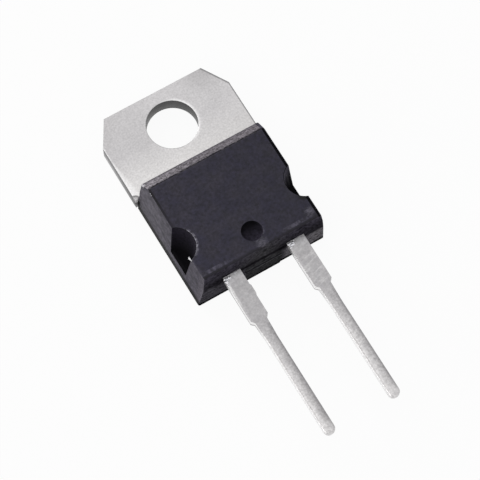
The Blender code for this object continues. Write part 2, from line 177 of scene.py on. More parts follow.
# Matt nickel and tin plating over copper: a pale grey, cloudy over a few millimetres and faintly
# grainy close up. Punched walls are darker where the strip tears. Highlights and shade are painted
# into its colour in places.
def plating(name, lead_x):
    on_left = lead_x < 0
    coat = new_material(name)
    place = add(coat, "TexCoord")["Object"]
    across, along, height = add(coat, "SeparateXYZ", {0: place})
    facing_x, _, up = add(coat, "SeparateXYZ", {0: add(coat, "NewGeometry")["Normal"]})
    clouds = add(coat, "TexNoise", {"Vector": place, "Scale": 1 / (2.2 * MM), "Detail": 3})[0]
    blotches = add(coat, "TexNoise", {"Vector": place, "Scale": 1 / (0.4 * MM), "Detail": 4})[0]
    grain = add(coat, "TexNoise", {"Vector": place, "Scale": 1 / (0.13 * MM), "Detail": 2})[0]

    # Tab: lighter towards the mould and with a painted highlight along the mould and down its left
    # side, darker in its far right corner
    tab = add(coat, "Mix", {
        0: add(coat, "MapRange", {0: clouds, 1: 0.3, 2: 0.7})[0], 6: "C2C0C1", 7: "C8C6C7"
    }, data_type="RGBA")[2]
    far_right = near_spot(coat, place, (TAB_SIDE_X - TAB_CHAMFER[0], TAB_END_Y, TAB_TOP_Z), 2 * MM)
    tab = add(coat, "Mix", {0: far_right, 6: tab, 7: "B0AEAF"}, data_type="RGBA")[2]
    far_left = near_spot(coat, place, (-TAB_SIDE_X, TAB_END_Y, TAB_TOP_Z), 6 * MM)
    tab = add(coat, "Mix", {0: far_left, 6: tab, 7: "BAB8B9"}, data_type="RGBA")[2]
    near_mould = add(coat, "MapRange", {
        0: along, 1: MOULD_FRONT_Y + 3.4 * MM, 2: MOULD_FRONT_Y + 0.2 * MM
    })[0]
    to_right = add(coat, "MapRange", {0: across, 1: 0, 2: TAB_SIDE_X})[0]
    tab = add(coat, "Mix", {
        0: near_mould, 6: tab,
        7: add(coat, "Mix", {0: to_right, 6: "DCDAD9", 7: "CAC8C7"}, data_type="RGBA")[2]
    }, data_type="RGBA")[2]
    # Painted highlight: a light line on the tab along the mould and a light glow down its left edge
    mould_line = add(coat, "MapRange", {
        0: along, 1: MOULD_FRONT_Y + 0.3 * MM, 2: MOULD_FRONT_Y + 0.1 * MM
    })[0]
    glow_width = add(coat, "MapRange", {0: near_mould, 3: 0.1 * MM, 4: 0.7 * MM})[0]
    from_left = add(coat, "Math", {0: across, 1: TAB_SIDE_X}, operation="ADD")[0]
    left_glow = add(coat, "MapRange", {0: from_left, 1: glow_width, 2: 0, 4: 0.8})[0]
    painted_tab_highlight = add(coat, "Math", {0: mould_line, 1: left_glow}, operation="MAXIMUM")[0]
    tab = add(coat, "Mix", {0: painted_tab_highlight, 6: tab, 7: "F4F3F3"}, data_type="RGBA")[2]

    # The strip's sheared right edges catch less light
    along_chamfer = Vector((TAB_CHAMFER[1], TAB_CHAMFER[0], 0)).normalized()
    chamfer_reach = along_chamfer.dot(Vector((TAB_SIDE_X - TAB_CHAMFER[0], TAB_END_Y, 0)))
    to_chamfer = add(coat, "VectorMath", {0: place, 1: along_chamfer}, operation="DOT_PRODUCT")[1]
    chamfer_line = add(coat, "MapRange", {
        0: to_chamfer, 1: chamfer_reach - 0.16 * MM, 2: chamfer_reach - 0.06 * MM
    })[0]
    right_line = add(coat, "MapRange", {
        0: across, 1: TAB_SIDE_X - 0.11 * MM, 2: TAB_SIDE_X - 0.05 * MM
    })[0]
    dark_line = add(coat, "Math", {0: chamfer_line, 1: right_line}, operation="MAXIMUM")[0]
    tab = add(coat, "Mix", {0: dark_line, 6: tab, 7: "858485"}, data_type="RGBA")[2]

    # Round the hole the punch leaves a thin line, with painted shade at its left and a wide painted
    # highlight at its right
    from_hole = add(coat, "VectorMath", {
        0: add(coat, "CombineXYZ", {0: across, 1: along})[0], 1: (0, HOLE_Y, 0)
    }, operation="DISTANCE")[1]
    to_right = add(coat, "MapRange", {0: across, 1: -0.4 * HOLE_RADIUS, 2: 0.7 * HOLE_RADIUS})[0]
    ring_reach = add(coat, "MapRange", {
        0: to_right, 3: HOLE_RADIUS + 0.07 * MM, 4: HOLE_RADIUS + 0.22 * MM
    })[0]
    ring = add(coat, "MapRange", {0: from_hole, 1: ring_reach, 2: HOLE_RADIUS, 3: 0, 4: 0.8})[0]
    tab = add(coat, "Mix", {
        0: ring, 6: tab,
        7: add(coat, "Mix", {0: to_right, 6: "9C9B9C", 7: "F4F3F3"}, data_type="RGBA")[2]
    }, data_type="RGBA")[2]

    # The left corner by the mould is painted: a grey line of shade round its border on top, a lighter
    # highlight within it, and a painted highlight down its wall
    from_corner = add(coat, "VectorMath", {
        0: place, 1: (-TAB_SIDE_X, MOULD_FRONT_Y, TAB_TOP_Z)
    }, operation="DISTANCE")[1]
    border = add(coat, "MapRange", {0: from_corner, 1: 0.46 * MM, 2: 0.38 * MM})[0]
    tab = add(coat, "Mix", {0: border, 6: tab, 7: "7E7C7D"}, data_type="RGBA")[2]
    within = add(coat, "MapRange", {0: from_corner, 1: 0.36 * MM, 2: 0.26 * MM})[0]
    tab = add(coat, "Mix", {0: within, 6: tab, 7: "B6B4B5"}, data_type="RGBA")[2]

    # Lead: flat grey where it is wide, with scuffs across it, painted lighter near the mould, and a
    # painted highlight down its left edge
    wide = add(coat, "Mix", {
        0: add(coat, "MapRange", {0: blotches, 1: 0.3, 2: 0.7})[0], 6: "A9A7A9", 7: "B8B6B7"
    }, data_type="RGBA")[2]
    scuffs = add(coat, "TexNoise", {
        "Vector": add(coat, "Mapping", {
            "Vector": place, "Rotation": (0, 0, math.radians(16)), "Scale": (5, 0.8, 1)
        }, vector_type="TEXTURE")[0],
        "Scale": 1 / (0.3 * MM), "Detail": 2,
    })[0]
    scuffed = add(coat, "MapRange", {0: across, 1: 0, 2: LEAD_X, 3: 0.2, 4: 0.75})[0]
    scuffs = add(coat, "MapRange", {0: scuffs, 1: 0.5, 2: 0.72})[0]
    scuffs = add(coat, "Math", {0: scuffs, 1: scuffed}, operation="MULTIPLY")[0]
    wide = add(coat, "Mix", {0: scuffs, 6: wide, 7: "CFCECE"}, data_type="RGBA")[2]
    near_root = add(coat, "MapRange", {0: along, 1: MOULD_END_Y - 1 * MM, 2: MOULD_END_Y, 4: 0.8})[0]
    wide = add(coat, "Mix", {
        0: near_root, 6: wide, 7: "DAD8DA" if on_left else "CCCACC"
    }, data_type="RGBA")[2]
    strip = add(coat, "MapRange", {
        0: across, 1: lead_x - LEAD_SIDE + 0.2 * MM, 2: lead_x - LEAD_SIDE + 0.1 * MM
    })[0]
    from_root = add(coat, "MapRange", {
        0: along, 1: MOULD_END_Y - 2.6 * MM, 2: MOULD_END_Y - 0.6 * MM, 3: 0.15, 4: 0.9
    })[0]
    strip = add(coat, "Math", {0: strip, 1: from_root}, operation="MULTIPLY")[0]
    wide = add(coat, "Mix", {
        0: strip, 6: wide, 7: "F3F2F2" if on_left else "C4C2C3"
    }, data_type="RGBA")[2]

    # The thin end gets lighter to its tip, with a painted highlight down its left side and painted
    # shade down its right one, for its round section
    lightest_y = TIP_Y + (1.5 if on_left else 5) * MM
    tip = add(coat, "MapRange", {0: along, 1: SHOULDER_Y - 1 * MM, 2: lightest_y})[0]
    dull = add(coat, "Mix", {0: tip, 6: "A6A4A5", 7: "B2B0B1"}, data_type="RGBA")[2]
    thin = add(coat, "Mix", {
        0: add(coat, "MapRange", {0: blotches, 1: 0.34, 2: 0.66})[0], 6: dull,
        7: add(coat, "Mix", {0: tip, 6: "B9B7B8", 7: "CDCBCB"}, data_type="RGBA")[2]
    }, data_type="RGBA")[2]
    wander = add(coat, "Math", {0: blotches, 1: 0.3 * MM}, operation="MULTIPLY")[0]
    side = add(coat, "Math", {0: across, 1: wander}, operation="ADD")[0]
    widest = (0.1 if on_left else 0.26) * MM
    starts = add(coat, "MapRange", {0: tip, 3: lead_x + 0.3 * MM, 4: lead_x + widest})[0]
    right = add(coat, "MapRange", {0: side, 1: starts, 2: lead_x + 0.54 * MM, 4: 0.85})[0]
    thin = add(coat, "Mix", {0: right, 6: thin, 7: "868486"}, data_type="RGBA")[2]
    lit = 0.75 if on_left else 0.6
    left = add(coat, "MapRange", {0: side, 1: lead_x + 0.17 * MM, 2: lead_x - 0.12 * MM, 4: lit})[0]
    thin = add(coat, "Mix", {
        0: left, 6: thin, 7: add(coat, "Mix", {0: tip, 6: "C3C1C2", 7: "ECEAEA"}, data_type="RGBA")[2]
    }, data_type="RGBA")[2]
    # Faces turned to the left are painted a mid grey on the rounded shoulder, as shade, and with a
    # painted highlight on the upright wall
    turned_left = add(coat, "MapRange", {0: facing_x, 1: -0.1, 2: -0.5})[0]
    side_wall = add(coat, "MapRange", {0: facing_x, 1: -0.7, 2: -0.9})[0]
    thin = add(coat, "Mix", {
        0: turned_left, 6: thin,
        7: add(coat, "Mix", {0: side_wall, 6: "B2B0B0", 7: "F2F1F1"}, data_type="RGBA")[2]
    }, data_type="RGBA")[2]
    tip_end = add(coat, "MapRange", {0: along, 1: TIP_Y + 1.2 * MM, 2: TIP_Y + 0.3 * MM, 4: 0.6})[0]
    thin = add(coat, "Mix", {0: tip_end, 6: thin, 7: "D5D3D3"}, data_type="RGBA")[2]
    is_thin = add(coat, "MapRange", {0: along, 1: SHOULDER_Y + 0.2 * MM, 2: SHOULDER_Y - 1 * MM})[0]
    lead = add(coat, "Mix", {0: is_thin, 6: wide, 7: thin}, data_type="RGBA")[2]

    is_lead = add(coat, "Math", {0: along, 1: MOULD_END_Y + 1 * MM}, operation="LESS_THAN")[0]
    top = add(coat, "Mix", {0: is_lead, 6: tab, 7: lead}, data_type="RGBA")[2]

    # Punched walls: dark where the strip tore, in painted shade by the mould and inside the screw hole,
    # and lighter below, where the punch sheared it clean. Lead walls turned to the left carry a painted
    # highlight, and so does the tab's wall at the corner by the mould.
    torn_above = add(coat, "Math", {0: blotches, 1: 0.5 * MM, 2: height}, operation="MULTIPLY_ADD")[0]
    torn = add(coat, "MapRange", {0: torn_above, 1: 0.55 * MM, 2: 0.95 * MM})[0]
    tab_wall = add(coat, "Mix", {0: torn, 6: "A9A8A9", 7: "6F6E6F"}, data_type="RGBA")[2]
    in_shade = add(coat, "Math", {0: near_mould, 1: 0.7}, operation="MULTIPLY")[0]
    tab_wall = add(coat, "Mix", {0: in_shade, 6: tab_wall, 7: "434243"}, data_type="RGBA")[2]
    tab_wall = add(coat, "Mix", {0: border, 6: tab_wall, 7: "A9A7A8"}, data_type="RGBA")[2]
    in_hole = add(coat, "Math", {0: from_hole, 1: HOLE_RADIUS + 0.02 * MM}, operation="LESS_THAN")[0]
    tab_wall = add(coat, "Mix", {
        0: in_hole, 6: tab_wall,
        7: add(coat, "Mix", {0: blotches, 6: "474647", 7: "5C5B5B"}, data_type="RGBA")[2]
    }, data_type="RGBA")[2]
    sheared = add(coat, "MapRange", {
        0: height, 1: LEAD_UNDER_Z + 0.12 * MM, 2: LEAD_UNDER_Z + 0.24 * MM
    })[0]
    lead_wall = add(coat, "Mix", {0: sheared, 6: "8F8D8E", 7: "D5D4D4"}, data_type="RGBA")[2]
    left_wall = add(coat, "Math", {0: facing_x, 1: -0.5}, operation="LESS_THAN")[0]
    left_side = add(coat, "Mix", {
        0: sheared, 6: "ABA9AA" if on_left else "9B999A", 7: "F6F5F5"
    }, data_type="RGBA")[2]
    lead_wall = add(coat, "Mix", {0: left_wall, 6: lead_wall, 7: left_side}, data_type="RGBA")[2]
    wall = add(coat, "Mix", {0: is_lead, 6: tab_wall, 7: lead_wall}, data_type="RGBA")[2]
    is_wall = add(coat, "MapRange", {
        0: add(coat, "Math", {0: up}, operation="ABSOLUTE")[0], 1: 0.85, 2: 0.5
    })[0]
    is_wall = add(coat, "Math", {
        0: is_wall, 1: add(coat, "MapRange", {0: is_thin, 3: 1, 4: 0.25})[0]
    }, operation="MULTIPLY")[0]
    colour = add(coat, "Mix", {0: is_wall, 6: top, 7: wall}, data_type="RGBA")[2]

    speckle = add(coat, "MapRange", {0: grain, 1: 0.25, 2: 0.75, 3: -0.13, 4: 0.13})[0]
    coarser = add(coat, "MapRange", {0: is_thin, 3: 1, 4: 1.6})[0]
    speckle = add(coat, "Math", {0: speckle, 1: coarser, 2: 1}, operation="MULTIPLY_ADD")[0]
    colour = add(coat, "VectorMath", {0: colour, 3: speckle}, operation="SCALE")[0]

    # A film of flux, which is no metal, whitens the lead where it leaves the mould
    film = add(coat, "MapRange", {0: along, 1: MOULD_END_Y - 0.75 * MM, 2: MOULD_END_Y - 0.1 * MM})[0]
    on_top = add(coat, "Math", {0: up, 1: 0.7}, operation="GREATER_THAN")[0]
    film = add(coat, "Math", {0: film, 1: on_top}, operation="MULTIPLY")[0]
    film = add(coat, "Math", {0: film, 1: is_lead}, operation="MULTIPLY")[0]
    film = add(coat, "Math", {
        0: film, 1: add(coat, "MapRange", {0: blotches, 1: 0.36, 2: 0.6, 4: 0.6})[0]
    }, operation="MULTIPLY")[0]
    colour = add(coat, "Mix", {0: film, 6: colour, 7: "FAFAFC"}, data_type="RGBA")[2]
    metal = add(coat, "Math", {0: 1, 1: film}, operation="SUBTRACT")[0]
    rough = add(coat, "MapRange", {0: clouds, 1: 0.3, 2: 0.7, 3: 0.4, 4: 0.5})[0]
    pits = add(coat, "Math", {0: grain, 1: blotches}, operation="ADD")[0]
    relief = add(coat, "Bump", {"Strength": 0.4, "Distance": 0.006 * MM, "Height": pits})[0]
    shader = add(coat, "BsdfPrincipled", {
        "Base Color": colour, "Metallic": metal, "Roughness": rough, "Normal": relief
    })
    add(coat, "OutputMaterial", {"Surface": shader[0]})
    return coat


header = joined_copy("header_and_cathode_lead")

# The relief slots beside the mould are closed up: the tab keeps its full width right up to the epoxy
slot_ends = [
    v for v in header.verts
    if abs(v.co.y - SLOT_END_Y) < CLOSE_BY / 2 and abs(v.co.x) > TAB_SIDE_X - SLOT_DEPTH - CLOSE_BY
]
bmesh.ops.translate(header, verts=slot_ends, vec=(0, -SLOT_WIDTH, 0))
bmesh.ops.remove_doubles(header, verts=header.verts, dist=SAME_POINT)
dip_in_tin(header, -LEAD_X)
finished_piece(
    "header_plated", header,
    [plating("matt nickel and tin plating", -LEAD_X)], ["header_and_cathode_lead"],
)

# Solder and chip
# The die attach: a thin layer of reflowed solder that holds the chip to the pad and spreads a little
# beyond it. The chip is a sawn square of silicon, with a bright metallised square on its top.
solder_look = new_material("reflowed lead-free solder")
place = add(solder_look, "TexCoord")["Object"]
frosting = add(solder_look, "TexNoise", {"Vector": place, "Scale": 1 / (0.12 * MM), "Detail": 4})[0]
colour = add(solder_look, "Mix", {0: frosting, 6: "8E8F92", 7: "BDBEC0"}, data_type="RGBA")[2]
rough = add(solder_look, "MapRange", {0: frosting, 3: 0.3, 4: 0.5})[0]
relief = add(solder_look, "Bump", {"Strength": 0.4, "Distance": 0.006 * MM, "Height": frosting})[0]
shader = add(solder_look, "BsdfPrincipled", {
    "Base Color": colour, "Metallic": 1, "Roughness": rough, "Normal": relief
})
add(solder_look, "OutputMaterial", {"Surface": shader[0]})
finished_piece(
    "die_attach", joined_copy("die_attach_solder"), [solder_look], ["die_attach_solder"]
)

METAL_INSET = 0.25 * MM
silicon_look = new_material("polished silicon")
place = add(silicon_look, "TexCoord")["Object"]
saw_marks = add(silicon_look, "TexNoise", {
    "Vector": add(silicon_look, "Mapping", {"Vector": place, "Scale": (1, 1, 12)})[0],
    "Scale": 1 / (0.2 * MM), "Detail": 3,
})[0]
colour = add(silicon_look, "Mix", {0: saw_marks, 6: "3E3F46", 7: "5C5D64"}, data_type="RGBA")[2]
rough = add(silicon_look, "MapRange", {0: saw_marks, 3: 0.12, 4: 0.3})[0]
shader = add(silicon_look, "BsdfPrincipled", {
    "Base Color": colour, "Metallic": 0.6, "Roughness": rough, "IOR": 3.5
})
add(silicon_look, "OutputMaterial", {"Surface": shader[0]})
metallised = new_material("evaporated aluminium")
place = add(metallised, "TexCoord")["Object"]
film = add(metallised, "TexNoise", {"Vector": place, "Scale": 1 / (0.05 * MM), "Detail": 3})[0]
colour = add(metallised, "Mix", {0: film, 6: "C9CACA", 7: "E3E3E1"}, data_type="RGBA")[2]
rough = add(metallised, "MapRange", {0: film, 3: 0.18, 4: 0.32})[0]
shader = add(metallised, "BsdfPrincipled", {"Base Color": colour, "Metallic": 1, "Roughness": rough})
add(metallised, "OutputMaterial", {"Surface": shader[0]})

chip = joined_copy("silicon_die")
chip_top = max(chip.faces, key=lambda face: face.calc_center_median().z)
bmesh.ops.inset_region(chip, faces=[chip_top], thickness=METAL_INSET)
chip_top.material_index = 1
finished_piece("chip", chip, [silicon_look, metallised], ["silicon_die"])

# Bond wires
# Two thick aluminium wires from the chip to the anode lead's post, drawn, then pressed flat at both
# ends by the wedge that bonds them with ultrasound.
wire_look = new_material("drawn aluminium wire")
place = add(wire_look, "TexCoord")["Object"]
drawn = add(wire_look, "TexNoise", {
    "Vector": add(wire_look, "Mapping", {"Vector": place, "Scale": (1, 0.1, 0.3)})[0],
    "Scale": 1 / (0.04 * MM), "Detail": 3,
})[0]
colour = add(wire_look, "Mix", {0: drawn, 6: "C6C6C4", 7: "E6E6E3"}, data_type="RGBA")[2]
rough = add(wire_look, "MapRange", {0: drawn, 3: 0.22, 4: 0.38})[0]
shader = add(wire_look, "BsdfPrincipled", {"Base Color": colour, "Metallic": 1, "Roughness": rough})
add(wire_look, "OutputMaterial", {"Surface": shader[0]})
for number in (1, 2):
    finished_piece(
        f"wire_{number}", joined_copy(f"bond_wire_{number}"), [wire_look],
        [f"bond_wire_{number}"],
    )

# Anode lead
# Stamped from the thin part of the same strip, with a wide post inside for the wires. Only the mould
# holds it.
anode = joined_copy("anode_lead")
dip_in_tin(anode, LEAD_X)
finished_piece(
    "anode_plated", anode,
    [plating("tin plating on the anode lead", LEAD_X)], ["anode_lead"],
)

# Flux residue
# Tin beads and white flux caught where each lead leaves the mould, most of them at its left corner.
residue_look = new_material("tin beads in flux residue")
place = add(residue_look, "TexCoord")["Object"]
grit = add(residue_look, "TexNoise", {"Vector": place, "Scale": 1 / (0.05 * MM), "Detail": 2})[0]
colour = add(residue_look, "Mix", {0: grit, 6: "C9C8D0", 7: "F8F8FA"}, data_type="RGBA")[2]
rough = add(residue_look, "MapRange", {0: grit, 3: 0.25, 4: 0.5})[0]
relief = add(residue_look, "Bump", {"Strength": 0.5, "Distance": 0.01 * MM, "Height": grit})[0]
shader = add(residue_look, "BsdfPrincipled", {
    "Base Color": colour, "Metallic": 1, "Roughness": rough, "Normal": relief
})
add(residue_look, "OutputMaterial", {"Surface": shader[0]})
BEADS = ["in the corner"] * 12 + ["along the root"] * 4 + ["down the edge"] * 4
chance = random.Random(7)
residue = bmesh.new()
for lead_x in (-LEAD_X, LEAD_X):
    for where in BEADS:
        if where == "in the corner":
            size = chance.uniform(0.06, 0.11) * MM
            from_corner = chance.random() ** 2 * 0.32
        else:
            size = chance.uniform(0.03, 0.06) * MM
            from_corner = chance.random() if where == "along the root" else 0
        spread = 0.7 if where == "down the edge" else 0.24 * (1 - from_corner) ** 2
        from_root = chance.random() * spread
        ball = bmesh.ops.create_icosphere(residue, subdivisions=2, radius=size)["verts"]
        bmesh.ops.scale(residue, verts=ball, vec=(chance.uniform(1, 1.8), 1, 0.4))
        bmesh.ops.translate(residue, verts=ball, vec=(
            lead_x - LEAD_SIDE + 0.07 * MM + from_corner * (2 * LEAD_SIDE - 0.16 * MM),
            MOULD_END_Y + MOULD_GAP - size - from_root * MM, LEAD_TOP_Z + 0.1 * size,
        ))
finished_piece("root_residue", residue, [residue_look])

# Moulded body
# Black glass-filled epoxy, transfer-moulded round the pad, chip and wires in one shot. The tool gives
# the face a fine satin, the flanks and the bevel a spark-eroded grain, and the lead end a dull black.
BODY_SIDE_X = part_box("mould_body")[1].x
BODY_TOP_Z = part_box("mould_body")[1].z
PARTING_Z = (LEAD_UNDER_Z + LEAD_TOP_Z) / 2
SIDE_DRAFT = 0.49 * MM
RIGHT_STEEPER = 0.1 * MM
BESIDE_LEADS_X = 3.4 * MM
DARK_EDGE_WIDTH = 0.22 * MM
END_EDGE_Y = MOULD_END_Y + 0.55 * MM
FACE_SIDE_X = BODY_SIDE_X - SIDE_DRAFT
RIM_ROUND = 0.035 * MM
BOSS_SIDE = 1.45 * MM
BOSS_TOP_Z = 2.1 * MM
BOSS_STEP = 0.08 * MM
NOTCH_Y = MOULD_END_Y + 3.25 * MM
NOTCH_RADIUS = 1.43 * MM
NOTCH_FLOOR_Z = 1.27 * MM
NOTCH_WORN_AT = (-BODY_SIDE_X + 1.3 * MM, NOTCH_Y - 0.3 * MM, BODY_TOP_Z)
DIMPLE_Y = MOULD_END_Y + 1.63 * MM
DIMPLE_RADIUS = 0.785 * MM
DEEPER_THAN_DIMPLE = 0.2 * MM


def moulded(coat, colour, shade, grain, height, sheen):
    """Finishes an epoxy: shade scales its colour, and grain and height give its gloss and relief."""
    colour = add(coat, "VectorMath", {0: colour, 3: shade}, operation="SCALE")[0]
    rough = add(coat, "MapRange", {0: grain, 1: 0.3, 2: 0.7, 3: 0.5, 4: 0.66})[0]
    relief = add(coat, "Bump", {"Strength": 0.5, "Distance": 0.01 * MM, "Height": height})[0]
    shader = add(coat, "BsdfPrincipled", {
        "Base Color": colour, "Roughness": rough, "Normal": relief, "Specular IOR Level": sheen
    })
    add(coat, "OutputMaterial", {"Surface": shader[0]})


# Epoxy from the polished half of the tool: an almost even blue-black satin, whose mottle is drawn
# coarser than the real filler's 0.05 mm grains so that it shows. Handling scuffs its edges pale, and
# painted shade and highlights lie along some of them.
satin = new_material("satin black moulding epoxy")
place = add(satin, "TexCoord")["Object"]
across, along, _ = add(satin, "SeparateXYZ", {0: place})
clouds = add(satin, "TexNoise", {"Vector": place, "Scale": 1 / (1.1 * MM), "Detail": 2})[0]
grain = add(satin, "TexNoise", {"Vector": place, "Scale": 1 / (0.2 * MM), "Detail": 3})[0]
to_right = add(satin, "MapRange", {0: across, 1: -BODY_SIDE_X, 2: BODY_SIDE_X})[0]
colour = add(satin, "Mix", {
    0: add(satin, "MapRange", {0: clouds, 1: 0.35, 2: 0.65})[0],
    6: add(satin, "Mix", {0: to_right, 6: "2E2C3A", 7: "262432"}, data_type="RGBA")[2],
    7: add(satin, "Mix", {0: to_right, 6: "34313C", 7: "2B2933"}, data_type="RGBA")[2]
}, data_type="RGBA")[2]
# Painted shade: the face darkens over its last half millimetre before the lead end, as if its edge were
# rounder
end_edge_shade = add(satin, "MapRange", {0: along, 1: MOULD_END_Y + 0.47 * MM, 2: MOULD_END_Y + 0.3 * MM})[0]
colour = add(satin, "Mix", {0: end_edge_shade, 6: colour, 7: "1A1820"}, data_type="RGBA")[2]
end_line = add(satin, "Math", {0: along, 1: END_EDGE_Y, 2: 0.14 * MM}, operation="COMPARE")[0]
scuffs = add(satin, "TexNoise", {
    "Vector": add(satin, "Mapping", {"Vector": place, "Scale": (0.45, 1, 1)})[0],
    "Scale": 1 / (0.1 * MM), "Detail": 3,
})[0]
end_scuffs = add(satin, "MapRange", {0: grain, 1: 0.15, 2: 0.75, 4: 0.5})[0]
end_scuffs = add(satin, "Math", {0: end_scuffs, 1: end_line}, operation="MULTIPLY")[0]
left_scuff = near_spot(satin, place, (-3.6 * MM, END_EDGE_Y, BODY_TOP_Z), 1.5 * MM)
right_scuff = near_spot(satin, place, (2.9 * MM, END_EDGE_Y, BODY_TOP_Z), 1.4 * MM)
in_places = add(satin, "Math", {0: left_scuff, 1: right_scuff}, operation="MAXIMUM")[0]
end_scuffs = add(satin, "Math", {0: end_scuffs, 1: in_places}, operation="MULTIPLY")[0]
colour = add(satin, "Mix", {0: end_scuffs, 6: colour, 7: "6E6A78"}, data_type="RGBA")[2]
from_dimple = add(satin, "VectorMath", {
    0: add(satin, "CombineXYZ", {0: across, 1: along})[0], 1: (0, DIMPLE_Y, 0)
}, operation="DISTANCE")[1]
dimple_rim = add(satin, "MapRange", {0: from_dimple, 1: DIMPLE_RADIUS + 0.12 * MM, 2: DIMPLE_RADIUS})[0]
rim_scuffs = add(satin, "MapRange", {0: grain, 1: 0.42, 2: 0.62, 4: 0.4})[0]
rim_side = near_spot(satin, place, (0.62 * MM, DIMPLE_Y - 0.5 * MM, BODY_TOP_Z), 0.9 * MM)
rim_scuffs = add(satin, "Math", {0: rim_scuffs, 1: rim_side}, operation="MULTIPLY")[0]
rim_scuffs = add(satin, "Math", {0: rim_scuffs, 1: dimple_rim}, operation="MULTIPLY")[0]
below = near_spot(satin, place, (0.15 * MM, END_EDGE_Y, BODY_TOP_Z), 0.85 * MM)
by_corner = near_spot(satin, place, (4.15 * MM, MOULD_END_Y + 0.85 * MM, BODY_TOP_Z), 0.75 * MM)
below = add(satin, "Math", {0: below, 1: by_corner}, operation="MAXIMUM")[0]
below = add(satin, "Math", {0: below, 1: scuffs}, operation="MULTIPLY")[0]
below = add(satin, "MapRange", {0: below, 1: 0.2, 2: 0.5, 4: 0.6})[0]
rubbed = add(satin, "Math", {0: rim_scuffs, 1: below}, operation="MAXIMUM")[0]
colour = add(satin, "Mix", {0: rubbed, 6: colour, 7: "6E6B76"}, data_type="RGBA")[2]

# A dark line runs down the face's left edge, from the bevel to the notch
left_line = add(satin, "MapRange", {
    0: across, 1: 0.19 * MM - FACE_SIDE_X, 2: 0.13 * MM - FACE_SIDE_X
})[0]
fades = add(satin, "MapRange", {0: along, 1: NOTCH_Y + 0.8 * MM, 2: MOULD_FRONT_Y - 2 * MM, 3: 0.25})[0]
left_line = add(satin, "Math", {0: left_line, 1: fades}, operation="MULTIPLY")[0]
before_notch = add(satin, "Math", {0: along, 1: NOTCH_Y}, operation="GREATER_THAN")[0]
left_line = add(satin, "Math", {0: left_line, 1: before_notch}, operation="MULTIPLY")[0]
colour = add(satin, "Mix", {0: left_line, 6: colour, 7: "08060C"}, data_type="RGBA")[2]

# The notches' edges: scuffed pale round the left one, partly as a painted highlight, and in painted
# shade along the rear of the right one
from_notch = add(satin, "VectorMath", {
    0: add(satin, "CombineXYZ", {
        0: add(satin, "Math", {0: across}, operation="ABSOLUTE")[0], 1: along
    })[0], 1: (BODY_SIDE_X, NOTCH_Y, 0)
}, operation="DISTANCE")[1]
notch_edge = add(satin, "MapRange", {
    0: from_notch, 1: NOTCH_RADIUS + 0.2 * MM, 2: NOTCH_RADIUS + 0.06 * MM
})[0]
notch_scuffs_and_highlight = add(satin, "Math", {
    0: near_spot(satin, place, NOTCH_WORN_AT, 1.3 * MM), 1: notch_edge
}, operation="MULTIPLY")[0]
notch_scuffs_and_highlight = add(satin, "Math", {
    0: notch_scuffs_and_highlight, 1: add(satin, "MapRange", {0: grain, 1: 0.3, 2: 0.65})[0]
}, operation="MULTIPLY")[0]
colour = add(satin, "Mix", {0: notch_scuffs_and_highlight, 6: colour, 7: "A3A0AC"}, data_type="RGBA")[2]
right_spot = (BODY_SIDE_X - 0.3 * MM, NOTCH_Y - NOTCH_RADIUS, BODY_TOP_Z)
notch_shade = add(satin, "MapRange", {
    0: add(satin, "VectorMath", {0: place, 1: right_spot}, operation="DISTANCE")[1],
    1: 1 * MM, 2: 0.7 * MM
})[0]
notch_shade = add(satin, "Math", {0: notch_shade, 1: add(satin, "MapRange", {
    0: from_notch, 1: NOTCH_RADIUS + 0.28 * MM, 2: NOTCH_RADIUS + 0.16 * MM
})[0]}, operation="MULTIPLY")[0]
colour = add(satin, "Mix", {0: notch_shade, 6: colour, 7: "050506"}, data_type="RGBA")[2]
mottle = add(satin, "MapRange", {0: grain, 1: 0.28, 2: 0.72, 3: 0.5, 4: 1.5})[0]
moulded(satin, colour, mottle, grain, grain, 0.25)

# Epoxy from the spark-eroded half of the tool: paler, because the fine craters scatter light, with a
# mottle of 0.2 to 0.3 mm. White glints are painted on the sharp corner at the front and on the
# face's left edge near it, and painted shade along the foot and on the faces turned right.
eroded = new_material("spark-eroded black moulding epoxy")
place = add(eroded, "TexCoord")["Object"]
across, along, height = add(eroded, "SeparateXYZ", {0: place})
facing = add(eroded, "SeparateXYZ", {0: add(eroded, "NewGeometry")["Normal"]})
craters = add(eroded, "TexNoise", {"Vector": place, "Scale": 1 / (0.24 * MM), "Detail": 4})[0]
grain = add(eroded, "TexNoise", {"Vector": place, "Scale": 1 / (0.12 * MM), "Detail": 2})[0]
to_front = add(eroded, "MapRange", {0: along, 1: MOULD_END_Y, 2: MOULD_FRONT_Y})[0]
flank = add(eroded, "Mix", {0: to_front, 6: "4B4851", 7: "514E56"}, data_type="RGBA")[2]
worn_patches = add(eroded, "TexNoise", {"Vector": place, "Scale": 1 / (0.45 * MM), "Detail": 3})[0]
worn_patches = add(eroded, "MapRange", {0: worn_patches, 1: 0.3, 2: 0.7, 3: 0.65, 4: 1.35})[0]
flank = add(eroded, "VectorMath", {0: flank, 3: worn_patches}, operation="SCALE")[0]
by_end = add(eroded, "MapRange", {0: along, 1: MOULD_END_Y + 0.9 * MM, 2: MOULD_END_Y + 0.2 * MM})[0]
flank = add(eroded, "Mix", {0: by_end, 6: flank, 7: "625E66"}, data_type="RGBA")[2]
